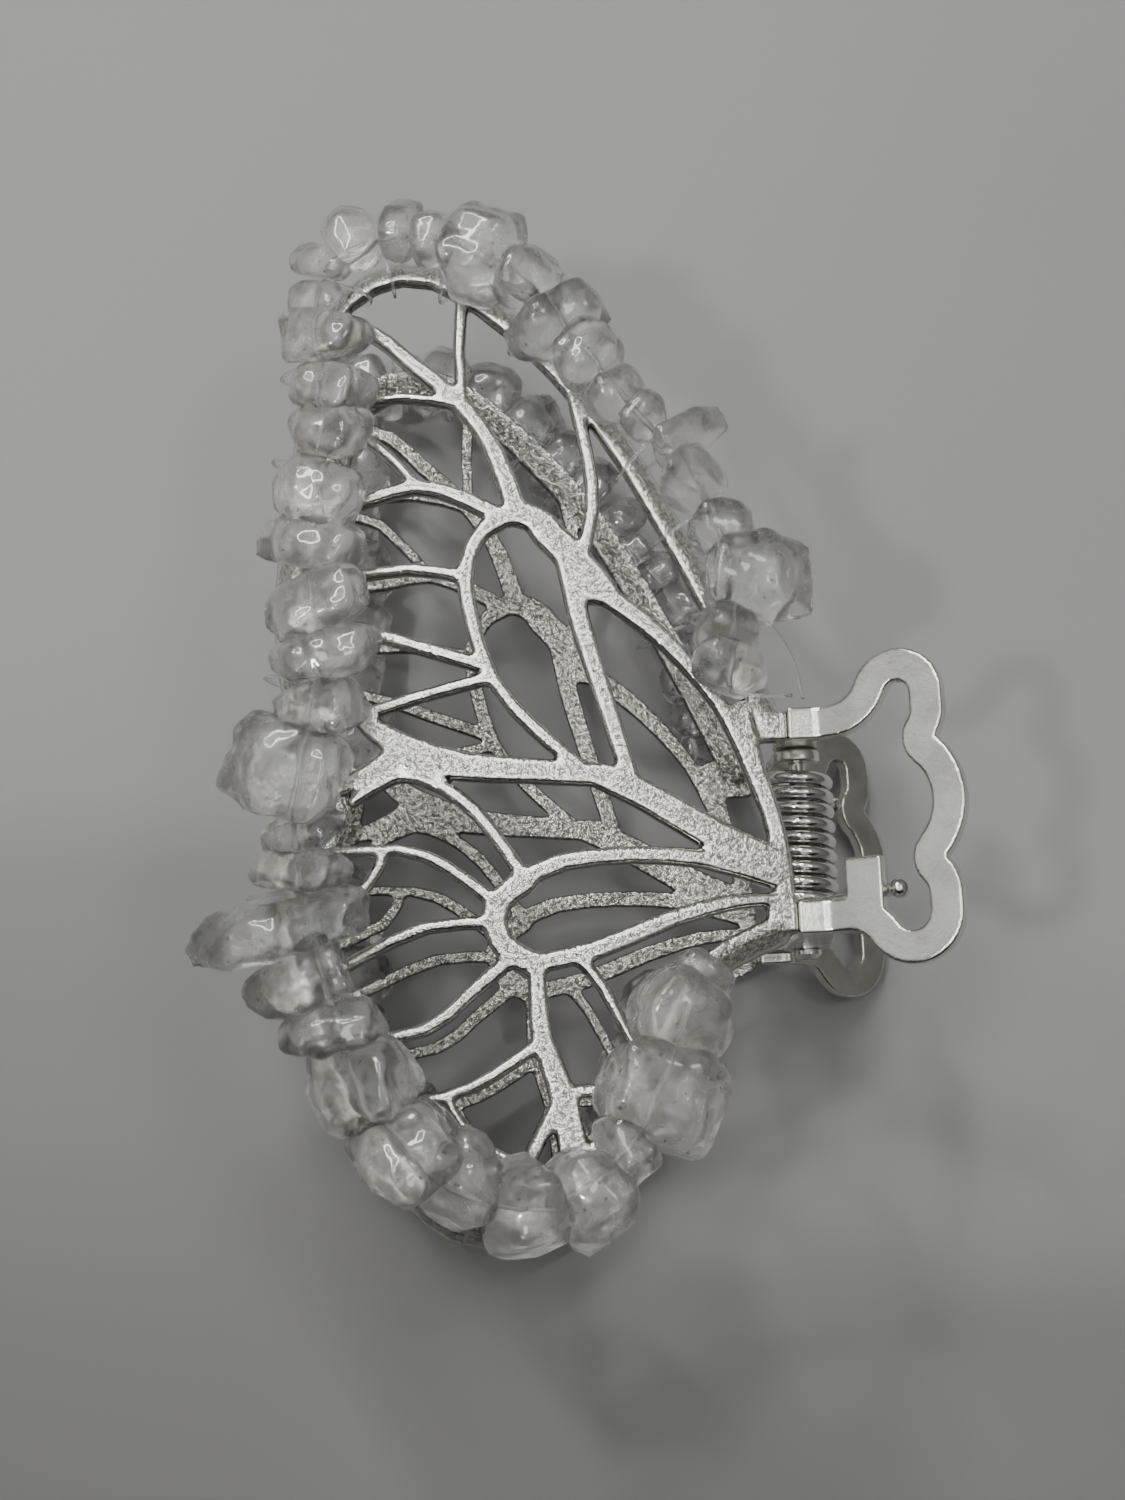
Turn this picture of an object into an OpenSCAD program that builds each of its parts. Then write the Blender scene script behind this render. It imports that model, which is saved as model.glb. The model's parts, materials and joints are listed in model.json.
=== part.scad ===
// Butterfly-wing hair clip: two openwork cast wings edged with tumbled quartz chips, hinged
// on a pin and held closed by a torsion spring. Units are millimetres.
// Every piece is drawn in the clip's own axes: the hinge pin lies on Y, +Y runs towards the
// wing tips, +X towards the finger loops, and +Z from the mid-plane to the front jaw.
// place() then sets the closed clip down on its back jaw.

/* [Wings] */
// Distance from the mid-plane to the middle of each wing plate at its highest
half_gap = 14.8; // [14:0.1:16]
// Radius of the shallow dish that each wing is bent to, about a line parallel to the hinge
dish_r = 100; // [85:1:140]
// Where the dish is highest, left of the hinge
dish_x = -20; // [-24:1:-16]
// Thickness of the wing casting
wing_t = 1.2; // [1:0.1:1.4]
// Width of the slanting rim outside the wing's crest line
rim_slant = 1.6; // [1.2:0.1:1.8]
// How far the slanting rim drops towards the mid-plane
rim_drop = 1.5; // [1:0.1:1.8]

/* [Finger loops] */
// Slope of the finger loops away from the mid-plane, in degrees
loop_tilt = 30; // [26:1:32]
// Thickness of the finger loop strap
loop_t = 1.3; // [1.1:0.1:1.5]
// Width of the finger loop strap
loop_w = 2.8; // [2.4:0.1:3]

/* [Hinge] */
// Radius of the hinge pin
pin_r = 0.75; // [0.6:0.05:0.8]
// Running clearance between the pin and the front ears, on the radius
pin_play = 0.05; // [0.02:0.01:0.1]
// Thickness of each ear
ear_t = 1.1; // [0.9:0.1:1.1]
// Radius of the eye round the pin
eye_r = 2.1; // [1.8:0.1:2.3]

/* [Spring] */
// Spring wire diameter
wire_d = 1.2; // [1:0.05:1.25]
// Mean radius of the coil
coil_r = 2.6; // [2.3:0.05:2.7]
// Distance between turns
coil_pitch = 1.35; // [1.26:0.01:1.38]
// Direction of each spring leg away from the mid-plane, in degrees
leg_angle = 61.6; // [58:0.1:61.6]

/* [Quartz chips] */
// Height, over the middle of the wing plate, of the line that the chips hang on
chip_lift = 2.6; // [2.5:0.1:3]
// Radius of the hole drilled through each chip
hole_r = 0.5; // [0.4:0.05:0.55]
// How far each chip reaches down from its hole, stopping short of the wing's face
chip_down = 1.65; // [1.4:0.05:1.7]
// Farthest that the back wing's chips reach sideways from their line
back_reach = 4.4; // [3:0.1:4.6]
// Sideways lean of the chips, as slope along the line
chip_lean = 0.3; // [0:0.05:0.4]
// Seed of the chips' random lumps
chip_seed = 41; // [1:1:99]

/* [Nylon line] */
// Radius of the nylon line
line_r = 0.16; // [0.14:0.01:0.18]
// Space between chips where the line comes in to wrap the rim
wrap_gap = 1; // [0.9:0.05:1.2]

/* [Hidden] */
// The middle of the clip's box and its lowest point, in the clip's own axes.
origin_x = -21.13;
origin_y = 10.9;
origin_z = -20.67;

// Outer faces, along Y, of the two straps that carry the hinge.
strap_top = 9.9;
strap_low = -9.3;
// Where the wings end and the finger loops' straps begin, and the height of both there.
joint_x = -2.6;
joint_z = dish([-4, 0]);
// Tab on each finger loop that a spring leg presses on, measured up the loop's slope.
tab_from = 1.8;
tab_w = 3.2;
tab_len = 5.2;
// Space under each head of the pin.
head_gap = 0.06;
// Where the coil begins along the pin, points along it, and how far its legs run straight.
coil_top = 6.4;
coil_steps = 94;
leg_len = 16;
// Loose end of the nylon line by the shoulder and the turn in it, from the first chip.
line_tail = [5.2, -0.9, -0.6];
line_turn = [1.6, -0.9, 0.1];

// Crest line of the forewing, from the hinge up to the tip and down the margin to the notch.
fore_edge = [[-4.6, 8.6], [-8.3, 17.2], [-12.8, 26.4], [-18.2, 35.9], [-24.8, 43.8], [-31.4, 48.9],
    [-36.8, 48.9], [-40.8, 45], [-41.9, 36.4], [-43.6, 26], [-44, 17], [-42.8, 11.2], [-40.6, 7.2]];
// Crest line of the hindwing, from the notch round its tail and back to the hinge.
hind_edge = [[-40.6, 7.2], [-41.8, 2.6], [-44.4, -2.4], [-44.3, -10], [-41.2, -18], [-36.9, -25],
    [-33, -30.1], [-29.6, -31.6], [-24.6, -30.4], [-19.4, -25.2], [-15.8, -18.6], [-12.4, -13],
    [-8.6, -10.1], [-4.2, -8.2]];
// Edge of the wings beside the hinge.
root_edge = [[-6.6, 9.8], [-5.6, 5], [-4.4, 1], [-3.7, -3], [-3.5, -7.6]];

// Veins, each a curve with its width in the wing: [[x, y], ...], width at start, width at end.
veins = [
    // radial vein from the forewing's tip to the head of the long middle cell
    [[[-40.8, 45.6], [-37, 44.6], [-34, 41.8], [-29.4, 37.4], [-26.6, 33], [-24.9, 27.6]], 1.1, 1.9],
    // short veins of the forewing tip
    [[[-29, 47], [-29.4, 42.5], [-29.2, 37.2]], 1.1, 0.9],
    [[[-41.7, 37.8], [-34.5, 38.4], [-30, 37.4]], 0.8, 0.8],
    [[[-41.9, 36.2], [-38, 35.4], [-33.4, 30.4]], 0.9, 1],
    [[[-43, 28.6], [-38.2, 29.2], [-33.4, 30.2], [-29.4, 28.9], [-26, 26.9]], 1, 1.5],
    // long middle cell: left side, then right side, which meet in its rounded head
    [[[-24.6, 27.3], [-27.6, 26.1], [-29.2, 23.2], [-29.2, 19.4], [-27.4, 13], [-23.6, 8.2], [-19.6, 4.6]], 1.5, 1.2],
    [[[-24.6, 27.3], [-22.1, 26], [-20.7, 22.8], [-19.9, 18], [-18.2, 11.6], [-16.2, 4.4]], 2.2, 1.5],
    // web beside the cell's head, and the veins that leave it to the right
    [[[-22.8, 26], [-20.2, 23.2], [-18, 20.4]], 2.6, 2.9],
    [[[-20.6, 22.6], [-17.6, 19.9], [-14.6, 17.6], [-11.4, 14.4], [-8.4, 10.4], [-6.4, 6],
        [-4.8, 1.4]], 1.9, 1.2],
    [[[-19.8, 22], [-18.4, 27.4], [-18.6, 32], [-19.6, 37.4]], 1.2, 1.1],
    // veins that run to the outer margin
    [[[-43.8, 22.4], [-34, 22.9], [-29.2, 21.8]], 0.9, 1.1],
    [[[-44, 18.8], [-37.4, 17.4], [-34, 16.2], [-28.4, 14.2]], 1, 1.2],
    [[[-42.4, 10.4], [-37.8, 10.6], [-34, 11.6], [-27.6, 13]], 1, 1.1],
    // bar between forewing and hindwing, from its star at the margin to the hinge
    [[[-38.6, 10.2], [-37, 8.8], [-35, 7.4]], 1.5, 2.4],
    [[[-40.6, 4.2], [-37.2, 5.6], [-35, 7]], 1.3, 2.4],
    [[[-35, 7.2], [-30.4, 5.6], [-24, 4.9], [-18, 4.3]], 2.8, 1.9],
    [[[-18.6, 4.4], [-14.6, 2.4], [-9.4, -0.8], [-4.4, -3.4]], 2.2, 2.8],
    // hindwing arch, from the star to the hindwing cell
    [[[-39.4, 3], [-35.6, 5], [-32, 4], [-29, 1.6], [-26.4, -2], [-25, -4.4]], 0.9, 1.4],
    // hindwing cell: top, blunt left end, bottom
    [[[-25.4, -4.3], [-22, -2.8], [-16, -2.4], [-10, -2.9], [-4.4, -4.6]], 1.5, 1.6],
    [[[-25, -4.2], [-27.6, -6.2], [-27.2, -9.4], [-24.4, -11.2]], 2, 2],
    [[[-25, -11.2], [-19.6, -10.2], [-13.2, -7.8], [-8, -6.5], [-3.8, -6.3]], 1.7, 1.2],
    // hindwing veins
    [[[-27.6, -6], [-31.6, -2.8], [-35.6, -1.2], [-43.8, -1.2]], 1.2, 0.9],
    [[[-36.8, -1.4], [-38.4, -4.3], [-44.6, -7]], 1, 1],
    [[[-27.8, -7.6], [-33.4, -7.8], [-38.8, -10], [-44.2, -12.6]], 1.2, 0.9],
    [[[-26.4, -10.6], [-30.2, -13.6], [-33.8, -16.2], [-42.6, -17.6]], 1.3, 1],
    [[[-24.4, -11.2], [-24.2, -17], [-22.6, -21.8], [-21.6, -28.6]], 1.3, 2.6],
    [[[-24.1, -17.4], [-28, -19.9], [-32.2, -21.6], [-40.2, -22.4]], 1.1, 0.9],
    [[[-21, -10.8], [-19.2, -13], [-16.2, -19]], 1.1, 1],
    [[[-22.8, -22.2], [-24.8, -25.6], [-27.4, -31]], 1.6, 1],
    [[[-22.6, -21.6], [-17.2, -21.4]], 1.2, 1.2],
    [[[-31.8, -22.2], [-29.4, -25.6], [-25.6, -27.2]], 0.9, 0.9]
];

// Path of the line that the chips hang on, from the hinge up over the forewing's leading edge,
// round its tip, down the margin and round the hindwing.
string_path = [[-7.6, 11.4], [-7.6, 15.6], [-7, 20.6], [-8.2, 26], [-11.2, 31.2], [-15, 35.8],
    [-18.4, 40.2], [-21.8, 45], [-26, 48.9], [-31.2, 51.6], [-36.4, 52], [-40.4, 49.6],
    [-41.6, 44.8], [-41, 38.6], [-41, 33], [-42, 27], [-42, 20], [-41.8, 13.6], [-43, 7.4],
    [-43.8, 1], [-43, -6], [-41.2, -13], [-38.8, -20.2], [-34.8, -26.2], [-28.2, -30.4],
    [-21.6, -29.8], [-17, -25.6], [-14.2, -19.6], [-12.2, -14], [-9.6, -11]];

// Chip sizes in threading order: [length along the line, reach outwards, half depth, reach inwards].
chip_sizes = [
    [3.4, 3.3, 2.4, 3.3], [3.6, 3.0, 2.6, 3.0], [6.0, 7.0, 3.2, 1.8], [4.2, 3.2, 2.0, 2.6],
    [5.2, 3.0, 2.6, 2.6], [3.2, 6.2, 2.2, 1.4], [2.8, 2.6, 2.0, 1.8], [3.8, 2.4, 2.2, 3.2],
    [4.4, 3.4, 2.8, 3.2], [4.6, 4.2, 2.8, 4.8], [4.8, 3.6, 3.0, 2.4], [6.0, 4.6, 3.4, 4.4],
    [3.4, 2.6, 2.2, 2.6], [3.2, 3.6, 2.2, 2.2], [3.8, 4.2, 2.6, 2.2], [2.2, 4.4, 1.8, 1.6],
    [3.0, 3.0, 2.2, 2.0], [5.0, 3.4, 3.0, 4.8], [4.6, 3.2, 2.8, 4.6], [5.0, 3.4, 3.0, 4.0],
    [6.0, 4.2, 3.2, 3.8], [4.8, 4.6, 2.8, 4.6], [6.0, 4.4, 3.2, 4.8], [4.6, 4.6, 3.0, 5.2],
    [4.6, 4.0, 2.6, 4.8], [8.0, 7.0, 3.4, 3.8], [3.0, 3.4, 2.4, 4.2], [3.6, 4.6, 2.8, 5.0],
    [4.8, 10.6, 3.0, 5.4], [5.4, 6.4, 2.8, 1.8], [4.4, 4.8, 2.6, 3.6], [6.8, 4.8, 3.4, 4.6],
    [7.4, 4.2, 3.4, 4.6], [5.4, 2.6, 2.8, 5.0], [6.0, 3.6, 3.2, 4.4], [5.6, 4.4, 3.2, 3.8],
    [4.0, 2.6, 2.4, 3.6], [7.8, 5.6, 3.4, 4.6], [6.4, 4.4, 3.2, 4.2], [3.0, 2.6, 2.0, 2.6]
];
chips = len(chip_sizes);
// Space between two chips without a wrap, and chips in each node.
chip_play = 0.3;
run_of = 4;

// ---- Curves ----

// Height of the dished wing plate's middle at a point.
function dish(p) = half_gap - dish_r + sqrt(dish_r * dish_r - pow(p[0] - dish_x, 2));

// A point on the smooth curve through four points, at t of the way from the second to the third.
function smooth(a, b, c, d, t) =
    (2 * b + (c - a) * t + (2 * a - 5 * b + 4 * c - d) * t * t + (3 * b - a - 3 * c + d) * t * t * t) / 2;

// The smooth curve through every point of a list, with n steps between neighbours.
function curve(pts, n) = let (last = len(pts) - 1) [
    for (i = [0 : last - 1], k = [0 : n - 1])
        smooth(pts[max(i - 1, 0)], pts[i], pts[i + 1], pts[min(i + 2, last)], k / n),
    pts[last]
];

// Unit direction of a polyline at its point i, and the same turned outwards.
function along(pts, i) = let (d = pts[min(i + 1, len(pts) - 1)] - pts[max(i - 1, 0)]) d / norm(d);
function outward(pts, i) = let (d = along(pts, i)) [d[1], -d[0]];

// Distances along a polyline, and the point and direction at a given distance.
function distances(pts, i = 0, sum = 0) = i == len(pts) - 1 ? [sum]
    : concat([sum], distances(pts, i + 1, sum + norm(pts[i + 1] - pts[i])));
function segment_at(dist, s, i = 0) = i >= len(dist) - 2 || dist[i + 1] > s ? i
    : segment_at(dist, s, i + 1);
function point_at(pts, dist, s) = let (i = segment_at(dist, s))
    pts[i] + (pts[i + 1] - pts[i]) * (s - dist[i]) / (dist[i + 1] - dist[i]);
function direction_at(pts, dist, s) =
    let (d = point_at(pts, dist, s + 0.8) - point_at(pts, dist, s - 0.8)) d / norm(d);

// ---- The line that the chips hang on ----

string_line = curve(string_path, 3);
string_dist = distances(string_line);
string_len = string_dist[len(string_dist) - 1];

function total(v, n, i = 0) = i >= n ? 0 : v[i] + total(v, n, i + 1);
// Space after chip i: a wrap after every second chip, otherwise only play.
function space_after(i) = i % 2 == 1 ? wrap_gap : chip_play;
spaces = [for (i = [0 : chips - 1]) space_after(i)];

// The back wing's chips are the same sizes in another order, none reaching far.
function size_of(i, back) = let (size = chip_sizes[back ? (i * 7 + 5) % chips : i])
    back ? [size[0], min(size[1], back_reach), size[2], min(size[3], back_reach)] : size;
lengths = [for (i = [0 : chips - 1]) chip_sizes[i][0]];
chip_scale = (string_len - total(spaces, chips)) / total(lengths, chips);
function chip_len(i, back) = size_of(i, back)[0] * chip_scale;
// Distance along the line of the middle of chip i.
function chip_start(i, back) = i == 0 ? 0
    : chip_start(i - 1, back) + chip_len(i - 1, back) + spaces[i - 1];
function chip_mid(i, back) = chip_start(i, back) + chip_len(i, back) / 2;

// Point over the wing, and the point on the line in space at distance s.
function over_wing(p, up) = [p[0], p[1], dish(p) + up];
function hang(s) = over_wing(point_at(string_line, string_dist, s), chip_lift);
// Direction outwards from the line at distance s.
function hang_out(s) = let (d = direction_at(string_line, string_dist, s)) [d[1], -d[0]];

// ---- Shapes shared by several pieces ----

// Sets a piece of the clip down in the row's frame.
module place() {
    translate([-origin_x, -origin_y, -origin_z])
        children();
}

// A piece of the back jaw is the mirror image of the front one.
module on_side(back) {
    if (back) mirror([0, 0, 1]) children();
    else children();
}

// A short upright bead that veins and rims are drawn with.
module bead(p, d, h, z, sides = 6) {
    translate([p[0], p[1], z - h / 2])
        cylinder(d = 1.07 * d, h = h, $fn = sides);
}

// A bar of the openwork along a curve, from one width to another, following the dish.
module vein(pts, w0, w1, steps = 2) {
    line = curve(pts, steps);
    last = len(line) - 1;
    for (i = [0 : last - 1])
        hull()
            for (k = [i, i + 1])
                bead(line[k], w0 + (w1 - w0) * k / last, wing_t, dish(line[k]));
}

// The rim: a flat crest with a slanting lip outside it that drops towards the mid-plane.
module rim(pts, steps = 2) {
    line = curve(pts, steps);
    for (i = [0 : len(line) - 2])
        hull()
            for (k = [i, i + 1]) {
                lip = line[k] + rim_slant * outward(line, k);
                bead(line[k], 1.1, wing_t, dish(line[k]));
                bead(lip, 0.7, wing_t * 0.8, dish(line[k]) - rim_drop, 4);
            }
}

// A closed tube along points in space, with one radius or a list of one per point; each ring
// stands square to the bend between its sides.
module tube(pts, r, sides) {
    last = len(pts) - 1;
    marks = carried(pts, 0, [0.13, 0.17, 1]);
    points = [for (i = [0 : last]) each ring_at(pts, i, is_list(r) ? r[i] : r, marks[i], sides)];
    walls = [for (i = [0 : last - 1], k = [0 : sides - 1])
        let (n = (k + 1) % sides) each [
            [i * sides + k, (i + 1) * sides + k, (i + 1) * sides + n],
            [i * sides + k, (i + 1) * sides + n, i * sides + n]]];
    caps = [[for (k = [0 : sides - 1]) k], [for (k = [sides - 1 : -1 : 0]) last * sides + k]];
    polyhedron(points, concat(walls, caps), convexity = 8);
}

// Directions along the points of a tube: of one step, and between two steps.
function unit(v) = v / norm(v);
function step_dir(pts, i) = unit(pts[i + 1] - pts[i]);
function bend_dir(pts, i) = i == 0 ? step_dir(pts, 0)
    : i == len(pts) - 1 ? step_dir(pts, i - 1)
    : unit(step_dir(pts, i - 1) + step_dir(pts, i));
// What is left of a vector square to a direction.
function square_to(v, d) = unit(v - d * (v * d));
// A mark square to each bend, carried along the tube without twisting.
function carried(pts, i, mark) = i == len(pts) ? []
    : let (level = i == 0 ? mark : square_to(mark, step_dir(pts, i - 1)),
        m = square_to(level, bend_dir(pts, i)))
    concat([m], carried(pts, i + 1, m));
function ring_at(pts, i, r, mark, sides) = let (across = cross(bend_dir(pts, i), mark))
    [for (k = [0 : sides - 1]) pts[i] + r * (cos(360 * k / sides) * mark + sin(360 * k / sides) * across)];

// ---- Wings ----

module wing() {
    rim(fore_edge);
    rim(hind_edge);
    vein(root_edge, 1.7, 1.5);
    for (v = veins) vein(v[0], v[1], v[2]);
    wing_lug(strap_top - loop_w - 0.1);
    wing_lug(strap_low);
}

// Stub at the wing's root that one strap of the finger loop meets face to face.
module wing_lug(y) {
    translate([joint_x - 2.6, y, joint_z - wing_t / 2])
        cube([2.6, loop_w, wing_t]);
}

// ---- Finger loops, with the straps and ears that carry them on the pin ----

// Filled outline of a loop, laid flat: the first axis runs up its slope from the bend.
module loop_fill() {
    union() {
        offset(r = -2.5, $fn = 48)
            offset(r = 2.5, $fn = 48) {
                translate([-6, strap_low]) square([13, strap_top - strap_low]);
                lobe(7.2, 8.5, 10, 3.9);
                lobe(7.4, -8.1, -6.8, 4.3);
            }
        intersection() {
            translate([5.4, 1]) circle(r = 7.1, $fn = 96);
            translate([6, -4.2]) square([8, 10.3]);
        }
    }
}

// Round-ended lobe of a loop between two heights.
module lobe(u, y0, y1, r) {
    translate([u, y0]) circle(r = r, $fn = 64);
    translate([u, y1]) circle(r = r, $fn = 64);
    translate([u - r, y0]) square([2 * r, y1 - y0]);
}

// The loop's strap, open towards the hinge, with the tab that a spring leg presses on.
module loop_strap(tab_low) {
    intersection() {
        translate([0, -20]) square([20, 40]);
        difference() {
            loop_fill();
            offset(r = -loop_w, $fn = 48) loop_fill();
        }
    }
    translate([tab_from, tab_low ? strap_low + 0.9 : strap_top - 0.9 - tab_len])
        square([tab_w, tab_len]);
}

module finger_loop(tab_low, ear_in) {
    difference() {
        union() {
            translate([0, 0, joint_z])
                rotate([0, -loop_tilt, 0])
                    translate([0, 0, -loop_t / 2])
                        linear_extrude(loop_t)
                            loop_strap(tab_low);
            root_strap(strap_top - loop_w);
            root_strap(strap_low);
            ear(strap_top - ear_t - ear_in);
            ear(strap_low + ear_in);
        }
        translate([0, strap_low - 5, 0])
            rotate([-90, 0, 0])
                cylinder(r = ear_in > 0 ? pin_r : pin_r + pin_play, h = 30, $fn = 48);
    }
}

// Level stretch of a strap, from the wing's stub to the bend where the loop begins to slope.
module root_strap(y) {
    translate([joint_x, y, joint_z - wing_t / 2])
        cube([-joint_x, loop_w, wing_t]);
    translate([0, y, joint_z])
        rotate([-90, 0, 0])
            cylinder(r = loop_t / 2 + 0.1, h = loop_w, $fn = 32);
}

// Ear that comes down from a strap to the pin.
module ear(y) {
    translate([0, y + ear_t, 0])
        rotate([90, 0, 0])
            linear_extrude(ear_t) {
                circle(r = eye_r, $fn = 64);
                polygon([[-eye_r, 0], [eye_r, 0], [0.45, joint_z], [-2.3, joint_z]]);
            }
}

// ---- Hinge pin and torsion spring ----

module pin() {
    translate([0, strap_low - head_gap, 0])
        rotate([-90, 0, 0]) {
            cylinder(r = pin_r, h = strap_top - strap_low + 2 * head_gap, $fn = 48);
            mirror([0, 0, 1]) pin_head();
            translate([0, 0, strap_top - strap_low + 2 * head_gap]) pin_head();
        }
}

module pin_head() {
    cylinder(r = 1.3, h = 0.4, $fn = 48);
    translate([0, 0, 0.4]) cylinder(r1 = 1.3, r2 = 0.8, h = 0.35, $fn = 48);
}

// Points of the spring: back leg, coil downwards along the pin, front leg.
function coil_point(turn) = let (a = 270 - leg_angle - 360 * turn)
    [coil_r * cos(a), coil_top - coil_pitch * turn, coil_r * sin(a)];
coil_turns = 9 + (180 - 2 * leg_angle) / 360;
coil_pts = [for (k = [0 : coil_steps]) coil_point(coil_turns * k / coil_steps)];
leg_dir = [cos(leg_angle), 0, sin(leg_angle)];
function leg_at(far) = coil_pts[coil_steps] + leg_dir * far;
function back_leg_at(far) = coil_pts[0] + [leg_dir[0], 0, -leg_dir[2]] * far;

// Distance out along a leg and radius there: straight wire, then a small ball.
leg_shape = [[2, 1], [leg_len, 1], [leg_len + 0.35, 1.35], [leg_len + 0.95, 1.35], [leg_len + 1.3, 0.6]];

module spring() {
    outs = len(leg_shape) - 1;
    pts = concat([for (k = [outs : -1 : 0]) back_leg_at(leg_shape[k][0])], coil_pts,
        [for (s = leg_shape) leg_at(s[0])]);
    radii = concat([for (k = [outs : -1 : 0]) leg_shape[k][1]], [for (p = coil_pts) 1],
        [for (s = leg_shape) s[1]]) * wire_d / 2;
    tube(pts, radii, 8);
}

// ---- Quartz chips ----

// Sections of a chip along its hole: place from -1 to 1, and size of the outline there. The
// first and last are the mouths of the hole.
chip_sections = [[-1, 0], [-1, 0.7], [-0.62, 0.96], [0.02, 1], [0.64, 0.95], [1, 0.68], [1, 0]];

// Outline of a chip square to its hole: [outwards, up] from the hole. The underside is flat and
// clears the wing.
function outline(size) = [[size[1], 0.1 * size[2]], [0.55 * size[1], 0.95 * size[2]],
    [-0.55 * size[3], size[2]], [-size[3], -0.1 * size[2]], [-0.5 * size[3], -chip_down],
    [0.55 * size[1], -chip_down]];
chip_sides = 6;

// A point on a chip's section: on the mouth of the hole, or on its lumpy outline.
function chip_point(k, size, part, lump) = part == 0
    ? hole_r * [cos(360 * k / chip_sides), sin(360 * k / chip_sides)]
    : let (p = outline(size)[k] * part) [p[0] * lump, p[1] > 0 ? p[1] * lump : p[1]];

// The same in space, at distance s along the line.
function chip_place(s, p) = let (base = point_at(string_line, string_dist, s), out = hang_out(s))
    over_wing(base + out * p[0] + [-out[1], out[0]] * chip_lean * p[1], chip_lift + p[1]);

module chip(i, back) {
    size = size_of(i, back);
    lumps = rands(0.92, 1.05, len(chip_sections) * chip_sides, chip_seed + i + (back ? 500 : 0));
    rings = len(chip_sections);
    points = [for (j = [0 : rings - 1])
        let (s = chip_mid(i, back) + chip_sections[j][0] * chip_len(i, back) / 2)
        for (k = [0 : chip_sides - 1])
            chip_place(s, chip_point(k, size, chip_sections[j][1], lumps[j * chip_sides + k]))];
    faces = [for (j = [0 : rings - 1], k = [0 : chip_sides - 1])
        let (m = (j + 1) % rings, n = (k + 1) % chip_sides) each [
            [j * chip_sides + k, m * chip_sides + k, m * chip_sides + n],
            [j * chip_sides + k, m * chip_sides + n, j * chip_sides + n]]];
    polyhedron(points, faces, convexity = 4);
}

module chips_in_run(run, back) {
    for (i = [run * run_of : run * run_of + run_of - 1])
        chip(i, back);
}

// ---- Nylon line ----

// One wrap round the rim: distance outside the crest line, height over the dish, step along.
wrap_path = [[-1.2, 1.3, -0.45], [-1.2, -0.9, -0.5], [0.9, -2.6, -0.6], [3, -2.65, -0.8],
    [3.4, -0.4, -0.9]];
vein_points = [for (v = veins) each curve(v[0], 4)];
function clear_of_veins(p) = min([for (q = vein_points) norm(p - q)]) > 1.7;
crest_points = concat(curve(fore_edge, 8), curve(hind_edge, 8));

// How far outside a point of the line the crest line passes, measured square to the line.
function crest_from(base, out) =
    let (skew = [for (q = crest_points) abs((q - base) * [-out[1], out[0]]) + (norm(q - base) > 8 ? 99 : 0)])
    (crest_points[search(min(skew), skew)[0]] - base) * out;

function wrap_points(s) =
    let (base = point_at(string_line, string_dist, s), out = hang_out(s), rim_at = crest_from(base, out))
    clear_of_veins(base + out * (rim_at - 1.2))
        ? [for (w = wrap_path) over_wing(base + out * (rim_at + w[0]) + [-out[1], out[0]] * w[2], w[1])]
        : [];

function line_points(back) = [for (i = [0 : chips - 1])
    let (s = chip_mid(i, back), half = chip_len(i, back) / 2) each concat(
        [hang(s - half - spaces[max(i - 1, 0)] / 4), hang(s + half + spaces[i] / 4)],
        i % 2 == 1 && i < chips - 1 ? wrap_points(s + half + wrap_gap / 2) : [])];

module nylon_line(back) {
    pts = line_points(back);
    first = pts[0];
    last = pts[len(pts) - 1];
    tube(concat([first + line_tail, first + line_turn], pts,
        [last + 2 * step_dir(pts, len(pts) - 2)]), line_r, 4);
}

// ---- The pieces, in place ----

module back_wing() { color("silver") place() on_side(true) wing(); }
module front_wing() { color("silver") place() on_side(false) wing(); }
module back_finger_loop() { color("lightgray") place() on_side(true) finger_loop(false, ear_t + 0.1); }
module front_finger_loop() { color("lightgray") place() on_side(false) finger_loop(true, 0); }
module hinge_pin() { color("gray") place() pin(); }
module torsion_spring() { color("dimgray") place() spring(); }
module back_nylon_line() { color("lightcyan") place() on_side(true) nylon_line(true); }
module front_nylon_line() { color("lightcyan") place() on_side(false) nylon_line(false); }
module back_chips(run) { color("gainsboro") place() on_side(true) chips_in_run(run, true); }
module front_chips(run) { color("white") place() on_side(false) chips_in_run(run, false); }

run_names = ["shoulder", "leading_low", "leading_high", "apex", "outer_high", "outer_low",
    "notch", "hind_side", "tail", "hind_inner"];

back_wing();
front_wing();
back_finger_loop();
front_finger_loop();
hinge_pin();
torsion_spring();
back_nylon_line();
front_nylon_line();
for (run = [0 : len(run_names) - 1]) {
    back_chips(run);
    front_chips(run);
}
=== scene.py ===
"""Looks of the butterfly-wing hair clip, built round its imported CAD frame.

Lengths are in metres and powers in watts, except where a name ends in _MM: the wings are shaped
on a grid in millimetres, in the clip's own axes (hinge on Y, wings to -X, front jaw to +Z)."""

import json
import math
import random

import bmesh
import bpy
import numpy as np
from mathutils import Matrix, Vector, noise
from mathutils.bvhtree import BVHTree

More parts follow.
